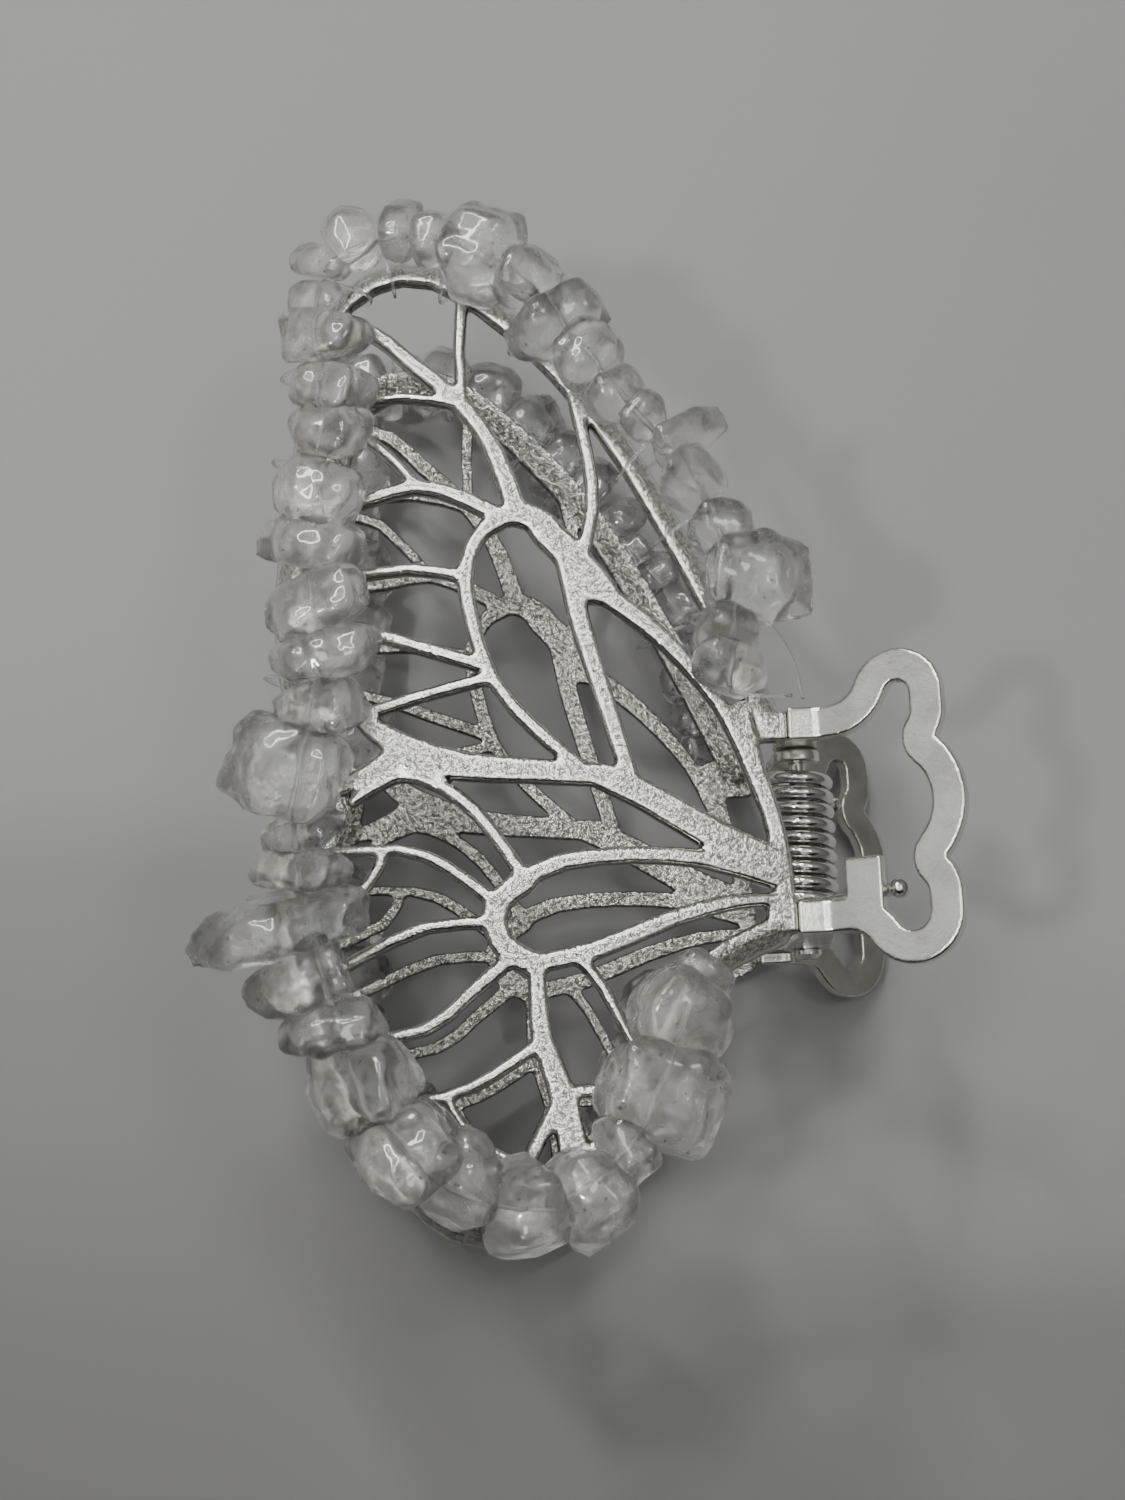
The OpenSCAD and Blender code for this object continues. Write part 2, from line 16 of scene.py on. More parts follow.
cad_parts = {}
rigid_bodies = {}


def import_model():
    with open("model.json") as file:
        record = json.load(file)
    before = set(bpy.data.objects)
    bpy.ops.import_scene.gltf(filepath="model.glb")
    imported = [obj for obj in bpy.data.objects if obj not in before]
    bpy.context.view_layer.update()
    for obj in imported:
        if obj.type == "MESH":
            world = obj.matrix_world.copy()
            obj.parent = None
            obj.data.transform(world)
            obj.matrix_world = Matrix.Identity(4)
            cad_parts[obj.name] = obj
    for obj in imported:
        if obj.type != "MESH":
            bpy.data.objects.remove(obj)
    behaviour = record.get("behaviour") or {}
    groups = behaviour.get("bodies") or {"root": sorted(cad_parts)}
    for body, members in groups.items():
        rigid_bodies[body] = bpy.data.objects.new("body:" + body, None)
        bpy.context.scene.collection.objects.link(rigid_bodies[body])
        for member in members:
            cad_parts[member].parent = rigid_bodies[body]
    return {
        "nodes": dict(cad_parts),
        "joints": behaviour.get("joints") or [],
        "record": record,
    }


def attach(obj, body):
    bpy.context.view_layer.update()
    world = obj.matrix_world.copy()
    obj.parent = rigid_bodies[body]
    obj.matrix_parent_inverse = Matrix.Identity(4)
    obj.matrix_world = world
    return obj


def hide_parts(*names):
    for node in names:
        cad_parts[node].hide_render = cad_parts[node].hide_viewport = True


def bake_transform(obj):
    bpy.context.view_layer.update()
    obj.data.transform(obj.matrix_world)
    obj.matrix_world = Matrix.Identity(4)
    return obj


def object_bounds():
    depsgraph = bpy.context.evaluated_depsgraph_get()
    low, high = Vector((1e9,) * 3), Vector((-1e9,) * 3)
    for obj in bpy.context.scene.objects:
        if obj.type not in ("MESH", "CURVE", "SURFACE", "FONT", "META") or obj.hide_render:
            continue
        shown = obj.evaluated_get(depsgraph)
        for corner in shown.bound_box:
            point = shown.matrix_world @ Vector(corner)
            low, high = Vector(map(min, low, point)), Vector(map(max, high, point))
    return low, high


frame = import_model()
cad_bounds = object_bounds()

MM = 0.001
HINGE = frame["joints"][0]
PIVOT = Vector(HINGE["pos_m"])
BACK, FRONT = HINGE["parent"], HINGE["child"]
SIDES = (("front", FRONT), ("back", BACK))
FLOOR_Z = cad_bounds[0][2]
# From the clip's own axes in millimetres to the frame in metres, and the same mirrored.
OWN_AXES = Matrix.Translation(PIVOT) @ Matrix.Scale(MM, 4)
OWN_AXES_BACK = OWN_AXES @ Matrix.Scale(-1, 4, (0, 0, 1))


# ---- Meshes ----


def linked(name, data):
    """A new object in the scene that holds a mesh, lamp or camera."""
    obj = bpy.data.objects.new(name, data)
    bpy.context.scene.collection.objects.link(obj)
    return obj


def finished(work, name):
    """The mesh that a bmesh holds; the bmesh goes."""
    mesh = bpy.data.meshes.new(name)
    work.to_mesh(mesh)
    work.free()
    return mesh


def new_piece(name, mesh, body, material):
    """A visible piece that rides on a body and wears the given material."""
    obj = linked(name, mesh)
    mesh.shade_smooth()
    mesh.materials.clear()
    mesh.materials.append(material)
    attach(obj, body)
    return obj


def welded(node):
    """A CAD node's mesh with its shared corners merged."""
    work = bmesh.new()
    work.from_mesh(frame["nodes"][node].data)
    bmesh.ops.remove_doubles(work, verts=work.verts, dist=0.002 * MM)
    work.verts.index_update()
    return work


def neighbours(corners):
    """The corners that share an edge with any of these, in an order that never changes."""
    near = {e.other_vert(v) for v in corners for e in v.link_edges}
    return sorted(near, key=lambda v: v.index)


def tube_line(node):
    """Middle line of a CAD tube and its radius there, found ring by ring from one end."""
    work = welded(node)
    ends = {v for v in work.verts if len(v.link_edges) != 6}
    ring, first = [], [min(ends, key=lambda v: v.index)]
    while first:
        ring += first
        first = [v for v in neighbours(first) if v in ends and v not in ring]
    seen, centres, radii = set(ring), [], []
    while ring:
        centre = sum((v.co for v in ring), Vector()) / len(ring)
        centres.append(centre)
        radii.append(sum((v.co - centre).length for v in ring) / len(ring))
        ring = [v for v in neighbours(ring) if v not in seen]
        seen.update(ring)
    work.free()
    return centres, radii


def smooth_line(points, steps):
    """Points of a Catmull-Rom curve through the given vectors of any size."""
    points = [np.array(p, float) for p in points]
    line = []
    for i in range(len(points) - 1):
        a, b, c, d = (points[min(max(i + k, 0), len(points) - 1)] for k in (-1, 0, 1, 2))
        for t in np.arange(steps) / steps:
            line.append(
                0.5 * (2 * b + (c - a) * t + (2 * a - 5 * b + 4 * c - d) * t * t
                       + (3 * b - a - 3 * c + d) * t ** 3)
            )
    return line + [points[-1]]


def turns(sides):
    """Angles that share a full turn evenly."""
    return [2 * math.pi * k / sides for k in range(sides)]


def bridge(work, near, far):
    """Faces between two rings of corners."""
    for k in range(len(near)):
        n = (k + 1) % len(near)
        work.faces.new((near[k], near[n], far[n], far[k]))


def tube_mesh(name, points, radii, sides):
    """A closed round tube along points, its rings carried along without twisting."""
    work = bmesh.new()
    points = [Vector(p) for p in points]
    across, rings = Vector((0.3, 0.2, 1)), []  # across begins as any direction off the tube's
    for i, p in enumerate(points):
        ahead = (points[min(i + 1, len(points) - 1)] - points[max(i - 1, 0)]).normalized()
        across = (across - ahead * across.dot(ahead)).normalized()
        other = ahead.cross(across)
        rings.append([
            work.verts.new(p + radii[i] * (math.cos(a) * across + math.sin(a) * other))
            for a in turns(sides)
        ])
    for near, far in zip(rings, rings[1:]):
        bridge(work, near, far)
    work.faces.new(rings[0][::-1])
    work.faces.new(rings[-1])
    return finished(work, name)


# ---- Wings: the CAD wing's plan, with soft fillets, rounded on its outer side ----

GRID_MM = 0.14  # spacing of the wing's mesh
FINE_MM = GRID_MM / 2  # spacing at which the CAD wing is read
FILLET_MM = 0.23  # softness of corners in the plan
SHOULDER_MM = 0.46  # radius of the rounded edges on the outer side
INNER_EDGE_MM = 0.14  # radius of the edges on the inner side
WEB_MM = 0.4  # depth inside the outline where the sandy webs begin, past the smooth veins
BLUR_CELLS = 2  # softness of the plate's heights, in cells of the wing's mesh
SNAP_CELLS = 0.52  # corners nearer than this to the outline are moved onto it
LEAST_STEEP = 0.3  # least slope of the depth that tells where the outline lies
# The ring that the casting's ejector pin leaves on the inner face.
EJECTOR_MM, EJECTOR_RADIUS_MM = (-34.1, 6.6), 1.15
EJECTOR_DEPTH_MM, EJECTOR_WIDTH_MM = 0.14, 0.22


def blurred(values, sigma):
    """A grid of values blurred by a bell curve, sigma in cells."""
    reach = int(3 * sigma) + 1
    kernel = np.exp(-0.5 * (np.arange(-reach, reach + 1) / sigma) ** 2)
    kernel /= kernel.sum()
    for axis in (0, 1):
        values = np.apply_along_axis(np.convolve, axis, values, kernel, mode="same")
    return values


def read_wing(node):
    """Depth inside the plan's outline, height of the plate's middle and half its thickness."""
    work = welded(node)
    work.transform(OWN_AXES.inverted())
    tree = BVHTree.FromBMesh(work)
    low = np.min([v.co[:] for v in work.verts], axis=0) - 1
    high = np.max([v.co[:] for v in work.verts], axis=0) + 1
    work.free()
    xs = np.arange(low[0], high[0], FINE_MM)
    ys = np.arange(low[1], high[1], FINE_MM)
    top = np.full((len(xs), len(ys)), np.nan)
    bottom = top.copy()
    down, up = Vector((0, 0, -1)), Vector((0, 0, 1))
    for i, x in enumerate(xs):
        for j, y in enumerate(ys):
            hit = tree.ray_cast((x, y, high[2]), down)[0]
            if hit:
                top[i, j] = hit.z
                if i % 2 == 0 and j % 2 == 0:
                    bottom[i, j] = tree.ray_cast((x, y, low[2]), up)[0].z
    filled = ~np.isnan(top)
    cover = blurred(filled.astype(float), FILLET_MM / FINE_MM)[::2, ::2]
    # Next to a straight edge the blurred cover tells the depth by the bell curve's sum.
    steps = np.linspace(-3, 3, 241)
    shares = [0.5 + 0.5 * math.erf(s / math.sqrt(2)) for s in steps]
    depth = np.interp(cover, shares, steps) * FILLET_MM
    known = filled[::2, ::2]
    weight = blurred(known.astype(float), BLUR_CELLS) + 1e-9
    top, bottom = top[::2, ::2], bottom[::2, ::2]
    middle = blurred(np.where(known, (top + bottom) / 2, 0), BLUR_CELLS) / weight
    half = blurred(np.where(known, (top - bottom) / 2, 0), BLUR_CELLS) / weight
    return xs[::2], ys[::2], depth, middle, half


def rounding(depth, radius):
    """How far a rounded edge has dropped, at a depth inside the outline."""
    rest = np.clip(radius - depth, 0, radius)
    return radius - np.sqrt(radius ** 2 - rest ** 2)


def wing_mesh():
    """The front wing in the clip's own axes, with where its edges, webs and inner face are."""
    xs, ys, depth, middle, half = read_wing("front_wing")
    slope_x, slope_y = np.gradient(depth, GRID_MM)
    steep = np.sqrt(slope_x ** 2 + slope_y ** 2) + 1e-6
    snap = (np.abs(depth) / steep < SNAP_CELLS * GRID_MM) & (steep > LEAST_STEEP)
    used = (depth > 0) | snap
    grid_x, grid_y = np.meshgrid(xs, ys, indexing="ij")
    grid_x = np.where(snap, grid_x - depth * slope_x / steep ** 2, grid_x)
    grid_y = np.where(snap, grid_y - depth * slope_y / steep ** 2, grid_y)
    depth = np.where(snap, 0, depth)
    number = np.arange(used.size).reshape(used.shape)
    corners = np.stack([number[:-1, :-1], number[1:, :-1], number[1:, 1:], number[:-1, 1:]], -1)
    held = np.stack([used[:-1, :-1], used[1:, :-1], used[1:, 1:], used[:-1, 1:]], -1)
    count = held.sum(-1)
    faces = [list(map(int, c)) for c in corners[count == 4]]
    faces += [[int(c) for c, h in zip(cs, hs) if h]
              for cs, hs in zip(corners[count == 3], held[count == 3])]
    edges = {(f[k], f[(k + 1) % len(f)]) for f in faces for k in range(len(f))}
    rim = [(a, b) for a, b in edges if (b, a) not in edges]
    kept = sorted({c for f in faces for c in f})
    place = {c: i for i, c in enumerate(kept)}
    x, y, d, mid, t = (v.ravel()[kept] for v in (grid_x, grid_y, depth, middle, half))
    upper = np.stack([x, y, mid + t - rounding(d, np.minimum(SHOULDER_MM, 1.5 * t))], -1)
    ring = np.hypot(x - EJECTOR_MM[0], y - EJECTOR_MM[1]) - EJECTOR_RADIUS_MM
    mark = EJECTOR_DEPTH_MM * np.exp(-((ring / EJECTOR_WIDTH_MM) ** 2))
    lower = np.stack([x, y, mid - t + rounding(d, INNER_EDGE_MM) + mark], -1)
    n = len(kept)
    tops = [[place[c] for c in f] for f in faces]
    walls = [[place[b], place[a], place[a] + n, place[b] + n] for a, b in sorted(rim)]
    bottoms = [[c + n for c in reversed(f)] for f in tops]
    mesh = bpy.data.meshes.new("wing")
    mesh.from_pydata(np.concatenate([upper, lower]).tolist(), [], tops + bottoms + walls)
    edge = np.concatenate([1 - d / SHOULDER_MM, 1 - d / (2 * INNER_EDGE_MM)]).clip(0, 1)
    web = np.concatenate([(d / WEB_MM - 1).clip(0, 1), np.ones(n)])
    inner = np.concatenate([np.zeros(n), np.ones(n)])
    for attribute, values in (("edge", edge), ("web", web), ("inner", inner)):
        data = mesh.attributes.new(attribute, "FLOAT", "POINT").data
        data.foreach_set("value", values.astype(np.float32))
    return mesh


def add_wings(material):
    shape = wing_mesh()
    for side, body in SIDES:
        name = side + "_wing"
        mesh = shape.copy()
        mesh.transform(OWN_AXES if side == "front" else OWN_AXES_BACK)
        if side == "back":
            mesh.flip_normals()
        piece = new_piece(name + "_cast", mesh, body, material)
        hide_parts(name)
    bpy.data.meshes.remove(shape)


# ---- Finger loops, pin and spring ----

LOOP_VOXEL = 0.11 * MM
LOOP_SOFTENING = 22  # rounds of smoothing, which turn its edges into broad bevels


def evaluated(obj):
    """The mesh of an object with its modifiers applied; the object goes."""
    bpy.context.view_layer.update()
    shaped = obj.evaluated_get(bpy.context.evaluated_depsgraph_get())
    mesh = bpy.data.meshes.new_from_object(shaped)
    bpy.data.objects.remove(obj)
    return mesh


def softened(mesh, voxel, rounds, refined):
    """A mesh rebuilt from voxels and smoothed, so that every edge is rounded."""
    obj = linked(mesh.name, mesh)
    remesh = obj.modifiers.new("voxels", "REMESH")
    remesh.mode = "VOXEL"
    remesh.voxel_size = voxel
    soften = obj.modifiers.new("soften", "SMOOTH")
    soften.factor = 0.5
    soften.iterations = rounds
    if refined:
        refine = obj.modifiers.new("refine", "SUBSURF")
        refine.levels = refine.render_levels = 1
    return evaluated(obj)


def add_finger_loops(material):
    for side, body in SIDES:
        node = side + "_finger_loop"
        mesh = softened(finished(welded(node), node), LOOP_VOXEL, LOOP_SOFTENING, refined=False)
        piece = new_piece(node + "_polished", mesh, body, material)
        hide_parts(node)


def add_spring(material):
    centres, radii = tube_line("torsion_spring")
    line = smooth_line([(*p, r) for p, r in zip(centres, radii)], steps=4)
    mesh = tube_mesh("spring", [p[:3] for p in line], [float(p[3]) for p in line], sides=16)
    piece = linked("spring_wire", mesh)
    mesh.shade_smooth()
    mesh.materials.append(material)
    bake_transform(piece)
    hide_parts("torsion_spring")


# ---- Nylon lines and quartz chips ----

RUNS = ("shoulder", "leading_low", "leading_high", "apex", "outer_high", "outer_low",
        "notch", "hind_side", "tail", "hind_inner")
CHIP_VOXEL = 0.34 * MM
CHIP_SOFTENING = 11  # rounds of smoothing
HOLE_RADIUS = 0.25 * MM
STRAND_RADIUS = 0.13 * MM
STRETCH = 1.14  # how much longer than in CAD each stone is, so that neighbours crowd together
TILT = (0.15, 0.4)  # least and greatest tilt of a stone, in radians
LONG_REACH = 5.5 * MM  # stones that reach about this far or further are tilted less
SWELL = 1.08  # makes up for what smoothing takes off a stone
LUMP_SIZE, LUMP_SHARE = 2.6 * MM, 0.16  # width of the lumps and height, as a share of the stone
DENT_SIZE, DENT_SHARE = 0.9 * MM, 0.02
BACK_SEED = 100  # where the back stones' seeds begin; the front ones begin at 0


def add_line(side, body, centres, radius, material):
    line = smooth_line(centres, steps=3)
    mesh = tube_mesh(side + "_line", line, [radius] * len(line), sides=10)
    piece = new_piece(side + "_line", mesh, body, material)
    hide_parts(side + "_nylon_line")


# Loose lengths of line by the shoulder and under the tail, in the clip's own axes.
STRANDS_MM = {
    "front_strand_shoulder": [(-8.6, 19.4, 16.4), (-6.4, 17.8, 16.8), (-3.9, 16.2, 16.2),
                              (-2.1, 13.6, 15.2), (-1.2, 10.2, 14.3)],
    "front_strand_tail": [(-28.2, -29.6, 17.4), (-29.8, -31.6, 16.6), (-31.0, -33.4, 14.6)],
}


def add_strands(material):
    for name, path in STRANDS_MM.items():
        points = [OWN_AXES @ Vector(p) for p in smooth_line(path, steps=6)]
        mesh = tube_mesh(name, points, [STRAND_RADIUS] * len(points), sides=8)
        new_piece(name, mesh, FRONT, material)


def loose_parts(work):
    """The separate solids of a mesh, each as a list of its corners."""
    left, parts = set(work.verts), []
    for start in work.verts:
        if start not in left:
            continue
        part, edge = [], [start]
        left.discard(start)
        while edge:
            part += edge
            edge = [v for v in neighbours(edge) if v in left]
            left.difference_update(edge)
        parts.append(part)
    return parts


def pebble(name, corners, along, seed):
    """A tumbled stone for one CAD chip: its hull, tilted, stretched along the line and rounded."""
    draw = random.Random(seed)
    centre = sum(corners, Vector()) / len(corners)
    reach = max((v - centre).length for v in corners)
    share = min(1, 0.6 * (LONG_REACH / reach) ** 3 + 0.1)
    turn = draw.choice((-1, 1)) * draw.uniform(*TILT) * share
    tilt = Matrix.Rotation(turn, 3, Vector((draw.uniform(-1, 1), draw.uniform(-1, 1), 1)))
    work = bmesh.new()
    for v in corners:
        arm = v - centre
        work.verts.new(centre + tilt @ (arm + along * arm.dot(along) * (STRETCH - 1)))
    hull = bmesh.ops.convex_hull(work, input=work.verts)
    spare = set(hull["geom_interior"] + hull["geom_unused"])
    bmesh.ops.delete(work, geom=list(spare), context="VERTS")
    shaped = softened(finished(work, name), CHIP_VOXEL, CHIP_SOFTENING, refined=True)
    middle = sum((v.co for v in shaped.vertices), Vector()) / len(shaped.vertices)
    offset = Vector([draw.uniform(-9, 9) for _ in range(3)])
    for v in shaped.vertices:
        out = v.co - middle
        wide = noise.noise(out / LUMP_SIZE + offset)
        fine = noise.noise(out / DENT_SIZE - offset)
        v.co = middle + out * (SWELL + LUMP_SHARE * wide + DENT_SHARE * fine)
        v.co.z = max(v.co.z, FLOOR_Z)
    return shaped


def drilled(mesh, points):
    """Cuts the hole that the line runs through out of a stone."""
    ahead = (points[-1] - points[0]).normalized()
    path = [points[0] - ahead * MM, *points, points[-1] + ahead * MM]
    drill = linked("drill", tube_mesh("drill", path, [HOLE_RADIUS] * len(path), sides=12))
    stone = linked("stone", mesh)
    cut = stone.modifiers.new("hole", "BOOLEAN")
    cut.operation, cut.object, cut.solver = "DIFFERENCE", drill, "EXACT"
    result = evaluated(stone)
    bpy.data.objects.remove(drill)
    return result


def add_chips(side, body, centres, finishes):
    first_seed = BACK_SEED if side == "back" else 0
    number = 0
    for run in RUNS:
        node = f"{side}_chips_{run}"
        work = welded(node)
        for part in loose_parts(work):
            corners = [v.co.copy() for v in part]
            middle = sum(corners, Vector()) / len(corners)
            number += 1
            name = f"{side}_chip_{number:02d}"
            hole = min(zip(centres, centres[1:]), key=lambda ends: sum(ends, -2 * middle).length)
            along = (hole[1] - hole[0]).normalized()
            mesh = drilled(pebble(name, corners, along, first_seed + number), hole)
            slot, material = finishes[node]
            new_piece(name, mesh, body, material)
        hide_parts(node)
        work.free()


# ---- Materials ----


class Nodes:
    """Short hand for building one material's nodes."""

    def __init__(self, name):
        self.material = bpy.data.materials.new(name)
        self.material.use_nodes = True
        self.tree = self.material.node_tree
        self.surface = self.tree.nodes["Principled BSDF"]

    def add(self, kind, **settings):
        node = self.tree.nodes.new("ShaderNode" + kind)
        for key, value in settings.items():
            setattr(node, key, value)
        return node

    def feed(self, socket, value):
        """Links another node's socket into this one, or sets it to a number or colour."""
        if isinstance(value, bpy.types.NodeSocket):
            self.tree.links.new(value, socket)
        else:
            socket.default_value = value

    def noise(self, size, detail=2.0, rough=0.5):
        """Noise whose features are about this size, in metres."""
        node = self.add("TexNoise")
        self.feed(node.inputs["Scale"], 1 / size)
        self.feed(node.inputs["Detail"], detail)
        self.feed(node.inputs["Roughness"], rough)
        self.feed(node.inputs["Vector"], self.add("TexCoord").outputs["Object"])
        return node.outputs["Fac"]

    def ramp(self, source, stops):
        """A colour ramp: stops are (place, colour or grey)."""
        node = self.add("ValToRGB")
        ramp = node.color_ramp
        for i, (at, colour) in enumerate(stops):
            element = ramp.elements[i] if i < 2 else ramp.elements.new(at)
            element.position = at
            rgb = (colour,) * 3 if isinstance(colour, (int, float)) else colour
            element.color = (*rgb, 1)
        self.feed(node.inputs["Fac"], source)
        return node.outputs["Color"]

    def mix(self, factor, a, b):
        """Number or socket a where factor is 0 and b where it is 1."""
        node = self.add("Mix", data_type="FLOAT")
        for i, value in ((0, factor), (2, a), (3, b)):
            self.feed(node.inputs[i], value)
        return node.outputs[0]

    def attribute(self, name):
        return self.add("Attribute", attribute_name=name).outputs["Fac"]

    def math(self, operation, a, b):
        node = self.add("Math", operation=operation)
        self.feed(node.inputs[0], a)
        self.feed(node.inputs[1], b)
        return node.outputs[0]

    def bump(self, height, depth, strength=1.0, after=None):
        """Relief: a height from 0 to 1 that stands for this depth in metres."""
        node = self.add("Bump")
        self.feed(node.inputs["Distance"], depth)
        self.feed(node.inputs["Strength"], strength)
        self.feed(node.inputs["Height"], height)
        if after:
            self.feed(node.inputs["Normal"], after)
        return node.outputs["Normal"]

    def set(self, **values):
        """Feeds the surface's sockets and returns the material."""
        for key, value in values.items():
            self.feed(self.surface.inputs[key.replace("_", " ")], value)
        return self.material


def cast_silver():
    """Bright plate over a sand-textured casting; edges are polished smooth, and painted dark
    reflections darken the colour along the outermost edges.
    """
    n = Nodes("cast_silver")
    edge, web, inner = (n.attribute(a) for a in ("edge", "web", "inner"))
    sand = n.noise(0.0003, 2, 0.7)
    patches = n.noise(0.0035, 2)
    flat = n.math("SUBTRACT", 1.0, edge)
    strength = n.math("MULTIPLY", flat, n.mix(inner, n.mix(web, 0.4, 1.0), 1.0))
    waves = n.bump(n.noise(0.0016, 2), 0.00012, 0.6)
    normal = n.bump(sand, 0.00025, strength, waves)
    roughness = n.mix(edge, n.mix(patches, 0.12, 0.24), 0.08)
    sparkle = n.ramp(n.noise(0.00036, 2, 0.8), [(0.44, 0.35), (0.56, 1.0)])
    grain = n.mix(n.mix(inner, n.mix(web, 0.4, 0.85), 0.9), 0.95, sparkle)
    # Painted dark reflection: where the edge mask passes 0.6 the colour darkens, down to 0.35 at
    # the outermost rounded edges.
    tone = n.math("MULTIPLY", grain, n.ramp(edge, [(0.6, 1.0), (0.9, 0.35)]))
    colour = n.ramp(tone, [(0.0, 0.0), (1.0, (0.97, 0.965, 0.89))])
    return n.set(Base_Color=colour, Metallic=1.0, Roughness=roughness, Normal=normal)


def satin_silver():
    """Bright plate, a little matt, with fine grain."""
    n = Nodes("satin_silver")
    grain = n.noise(0.0004, 4, 0.7)
    patches = n.noise(0.003, 2)
    normal = n.bump(grain, 0.00006, 0.5, n.bump(n.noise(0.002, 1), 0.0001, 0.5))
    colour = n.ramp(patches, [(0.35, (0.70, 0.695, 0.63)), (0.6, (0.83, 0.825, 0.755))])
    return n.set(Base_Color=colour, Metallic=1.0,
                 Roughness=n.mix(patches, 0.14, 0.26), Normal=normal)


def steel(name, roughness, colour):
    """Plain bright steel with faint marks."""
    n = Nodes(name)
    marks = n.noise(0.0008, 3)
    tone = n.ramp(marks, [(0.3, tuple(0.92 * c for c in colour)), (0.7, colour)])
    normal = n.bump(n.noise(0.0003, 3), 0.00002, 0.2)
    return n.set(Base_Color=tone, Metallic=1.0,
                 Roughness=n.mix(marks, roughness, roughness + 0.08), Normal=normal)


def nylon():
    """Clear line with faint streaks."""
    n = Nodes("nylon")
    streaks = n.noise(0.0008, 2)
    tone = n.ramp(streaks, [(0.3, 0.86), (0.7, 0.95)])
    return n.set(Base_Color=tone, Roughness=n.mix(streaks, 0.04, 0.14),
                 Transmission_Weight=0.92, IOR=1.53, Specular_IOR_Level=0.6)


def quartz(name, tint, clear, cloudy):
    """Tumbled quartz: clear and milky patches, specks, and a polished skin."""
    n = Nodes(name)
    cloud = n.noise(0.0034, 3, 0.6)
    veil = n.noise(0.0011, 3, 0.7)
    haze = n.math("ADD", n.math("MULTIPLY", cloud, 0.7), n.math("MULTIPLY", veil, 0.3))
    through = n.ramp(haze, [(0.38, clear), (0.62, cloudy)])
    specks = n.ramp(n.noise(0.0007, 1), [(0.255, 0.12), (0.275, 1.0)])
    base = n.ramp(haze, [(0.35, tint), (0.65, tuple(min(1, 1.06 * c) for c in tint))])
    mixed = n.add("Mix", data_type="RGBA", blend_type="MULTIPLY")
    for i, value in ((0, 0.8), (6, base), (7, specks)):
        n.feed(mixed.inputs[i], value)
    normal = n.bump(n.noise(0.0011, 2), 0.00006, 0.3, n.bump(n.noise(0.003, 1), 0.0003, 0.35))
    return n.set(Base_Color=mixed.outputs[2], Roughness=n.mix(haze, 0.1, 0.4),
                 Transmission_Weight=through, IOR=1.5, Coat_Weight=1.0, Coat_Roughness=0.03,
                 Coat_IOR=1.54, Normal=normal)


# ---- Stage, light and camera ----

AIM = Vector((0, 0, 0.02))  # the middle of the clip, which every lamp faces
FLOOR_SIZE = 6  # half its width
RING_LAMP = ((-0.13, 0.26, 0.42), 0.095, 0.022, 30)  # place, radius, width, strength
LAMPS = (  # name, place, width, power, colour
    ("small_lamp", (-0.22, -0.10, 0.50), 0.04, 0.5, (1, 1, 1)),
    ("lamp_left", (-0.11, 0.03, 0.50), 0.10, 0.16, (1, 1, 1)),
    ("lamp_right", (0.17, 0.03, 0.50), 0.10, 0.16, (1, 1, 1)),
    ("side_window", (-0.48, 0.08, 0.42), 0.30, 0.12, (0.98, 0.99, 1.0)),
)
DARK_CARDS = (  # name, two opposite corners in plan, height
    ("phone", (-0.028, 0.026), (0.028, 0.068), 0.210),
    ("sleeve", (-0.28, -0.36), (0.14, -0.062), 0.120),
    ("cuff", (-0.26, -0.062), (-0.04, -0.025), 0.110),
)
SKY = (  # how far up a direction points, from level, 0, to straight up, 1, and its colour
    (0.0, (0.10, 0.098, 0.095)), (0.5, (0.17, 0.167, 0.16)),
    (0.78, (0.26, 0.26, 0.25)), (0.9, (0.90, 0.90, 0.88)),
)
SKY_STRENGTH = 0.9
CAMERA_MM = (-26.80, -27.05, 181.6)  # in the clip's own axes
CAMERA_TURN = [math.radians(a) for a in (11.36, -1.36, -2.01)]
LENS_MM, SENSOR_MM = 48.96, 36


def add_floor():
    work = bmesh.new()
    bmesh.ops.create_grid(work, x_segments=8, y_segments=8, size=FLOOR_SIZE)
    mesh = finished(work, "floor")
    floor = linked("floor", mesh)
    n = Nodes("floor")
    tone = n.ramp(n.noise(0.12, 2), [(0.35, 0.36), (0.65, 0.38)])
    mesh.materials.append(n.set(Base_Color=tone, Roughness=0.75))


def face_clip(obj, spot):
    """Puts a lamp in its place, facing the clip."""
    obj.location = spot
    obj.rotation_euler = (AIM - Vector(spot)).to_track_quat("-Z", "Y").to_euler()


def add_light(name, spot, size, power, colour):
    data = bpy.data.lights.new(name, "AREA")
    data.shape, data.size, data.energy, data.color = "DISK", size, power, colour
    face_clip(linked(name, data), spot)


def add_ring_lamp(spot, radius, width, strength):
    """A glowing ring, which the stones mirror as small rings."""
    work = bmesh.new()
    rings = [[work.verts.new((r * math.cos(a), r * math.sin(a), 0)) for a in turns(64)]
             for r in (radius - width / 2, radius + width / 2)]
    bridge(work, *rings)
    mesh = finished(work, "ring_lamp")
    lamp = linked("ring_lamp", mesh)
    face_clip(lamp, spot)
    n = Nodes("ring_lamp")
    mesh.materials.append(n.set(Base_Color=(0, 0, 0, 1), Emission_Color=(1, 0.99, 0.96, 1),
                                Emission_Strength=strength))
    lamp.visible_camera = False


def add_dark_card(name, low, high, height):
    """A dark level card out of the picture, which the metal mirrors and which shades the floor."""
    mesh = bpy.data.meshes.new(name)
    corners = [(low[0], low[1]), (high[0], low[1]), (high[0], high[1]), (low[0], high[1])]
    mesh.from_pydata([(x, y, height) for x, y in corners], [], [(0, 1, 2, 3)])
    card = linked(name, mesh)
    n = Nodes(name)
    mesh.materials.append(n.set(Base_Color=(0.03, 0.024, 0.02, 1), Roughness=0.8))
    card.visible_camera = False


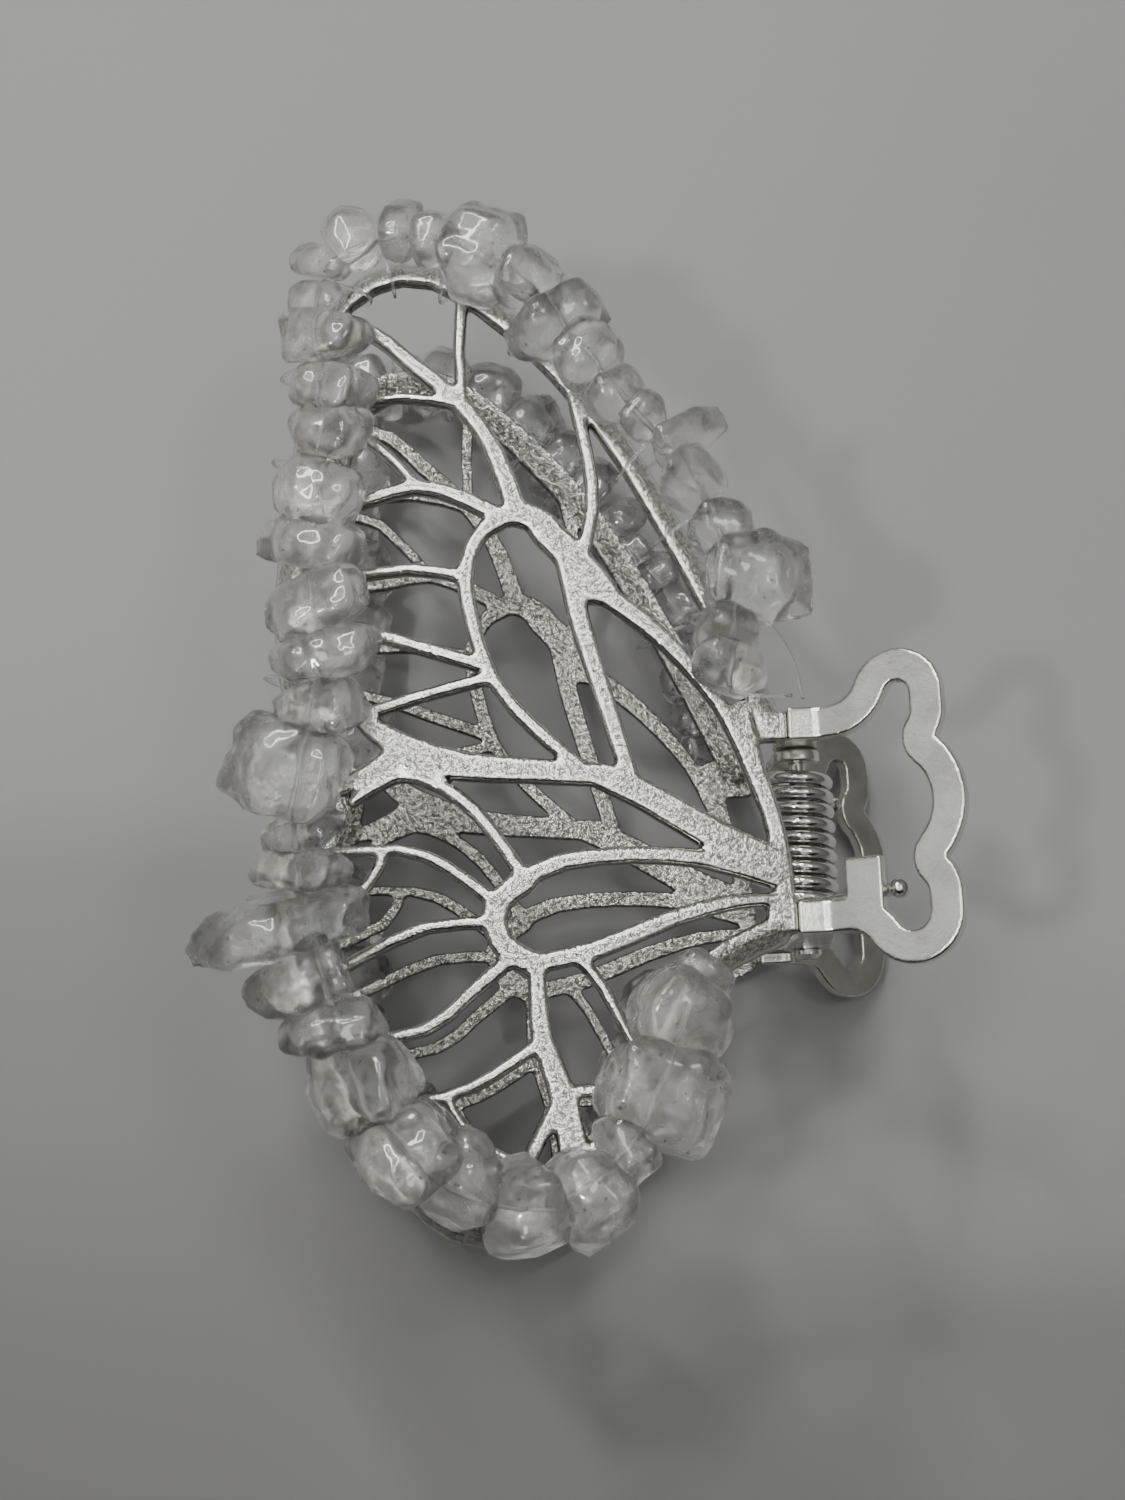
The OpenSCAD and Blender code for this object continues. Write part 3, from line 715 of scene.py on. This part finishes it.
def add_world():
    """A plain studio, dim around the floor and bright overhead."""
    world = bpy.data.worlds.new("studio")
    bpy.context.scene.world = world
    world.use_nodes = True
    tree = world.node_tree
    split = tree.nodes.new("ShaderNodeSeparateXYZ")
    place = tree.nodes.new("ShaderNodeTexCoord")
    tree.links.new(place.outputs["Generated"], split.inputs[0])
    ramp = tree.nodes.new("ShaderNodeValToRGB")
    for at, tone in SKY:
        stop = ramp.color_ramp.elements[0] if at == 0 else ramp.color_ramp.elements.new(at)
        stop.position, stop.color = at, (*tone, 1)
    tree.links.new(split.outputs["Z"], ramp.inputs["Fac"])
    back = tree.nodes["Background"]
    tree.links.new(ramp.outputs["Color"], back.inputs["Color"])
    back.inputs["Strength"].default_value = SKY_STRENGTH


def add_camera():
    data = bpy.data.cameras.new("camera")
    data.lens, data.sensor_fit, data.sensor_height = LENS_MM, "VERTICAL", SENSOR_MM
    data.clip_start, data.clip_end = 0.01, 20
    camera = linked("camera", data)
    camera.location = OWN_AXES @ Vector(CAMERA_MM)
    camera.rotation_euler = CAMERA_TURN
    bpy.context.scene.camera = camera


# ---- The clip ----

add_camera()
add_world()
add_floor()
add_ring_lamp(*RING_LAMP)
for lamp in LAMPS:
    add_light(*lamp)
for card in DARK_CARDS:
    add_dark_card(*card)

silver, satin = cast_silver(), satin_silver()
add_wings(silver)
add_finger_loops(satin)
pin = frame["nodes"]["hinge_pin"]
pin.data.materials.clear()
pin.data.materials.append(steel("pin_steel", 0.12, (0.80, 0.79, 0.77)))
add_spring(steel("spring_steel", 0.10, (0.84, 0.83, 0.80)))

stones = {
    "quartz_clear": quartz("quartz_clear", (0.93, 0.925, 0.91), 1.0, 0.95),
    "quartz_milky": quartz("quartz_milky", (0.89, 0.88, 0.865), 0.96, 0.87),
    "quartz_rose": quartz("quartz_rose", (0.89, 0.865, 0.845), 0.96, 0.89),
}
slots = {s["node"]: s["material_slot"] for s in frame["record"]["subparts"]}
finishes = {node: (slot, stones[slot]) for node, slot in slots.items() if slot in stones}
clear_line = nylon()
add_strands(clear_line)
for side, body in SIDES:
    centres, radii = tube_line(side + "_nylon_line")
    add_line(side, body, centres, radii[1], clear_line)
    add_chips(side, body, centres, finishes)
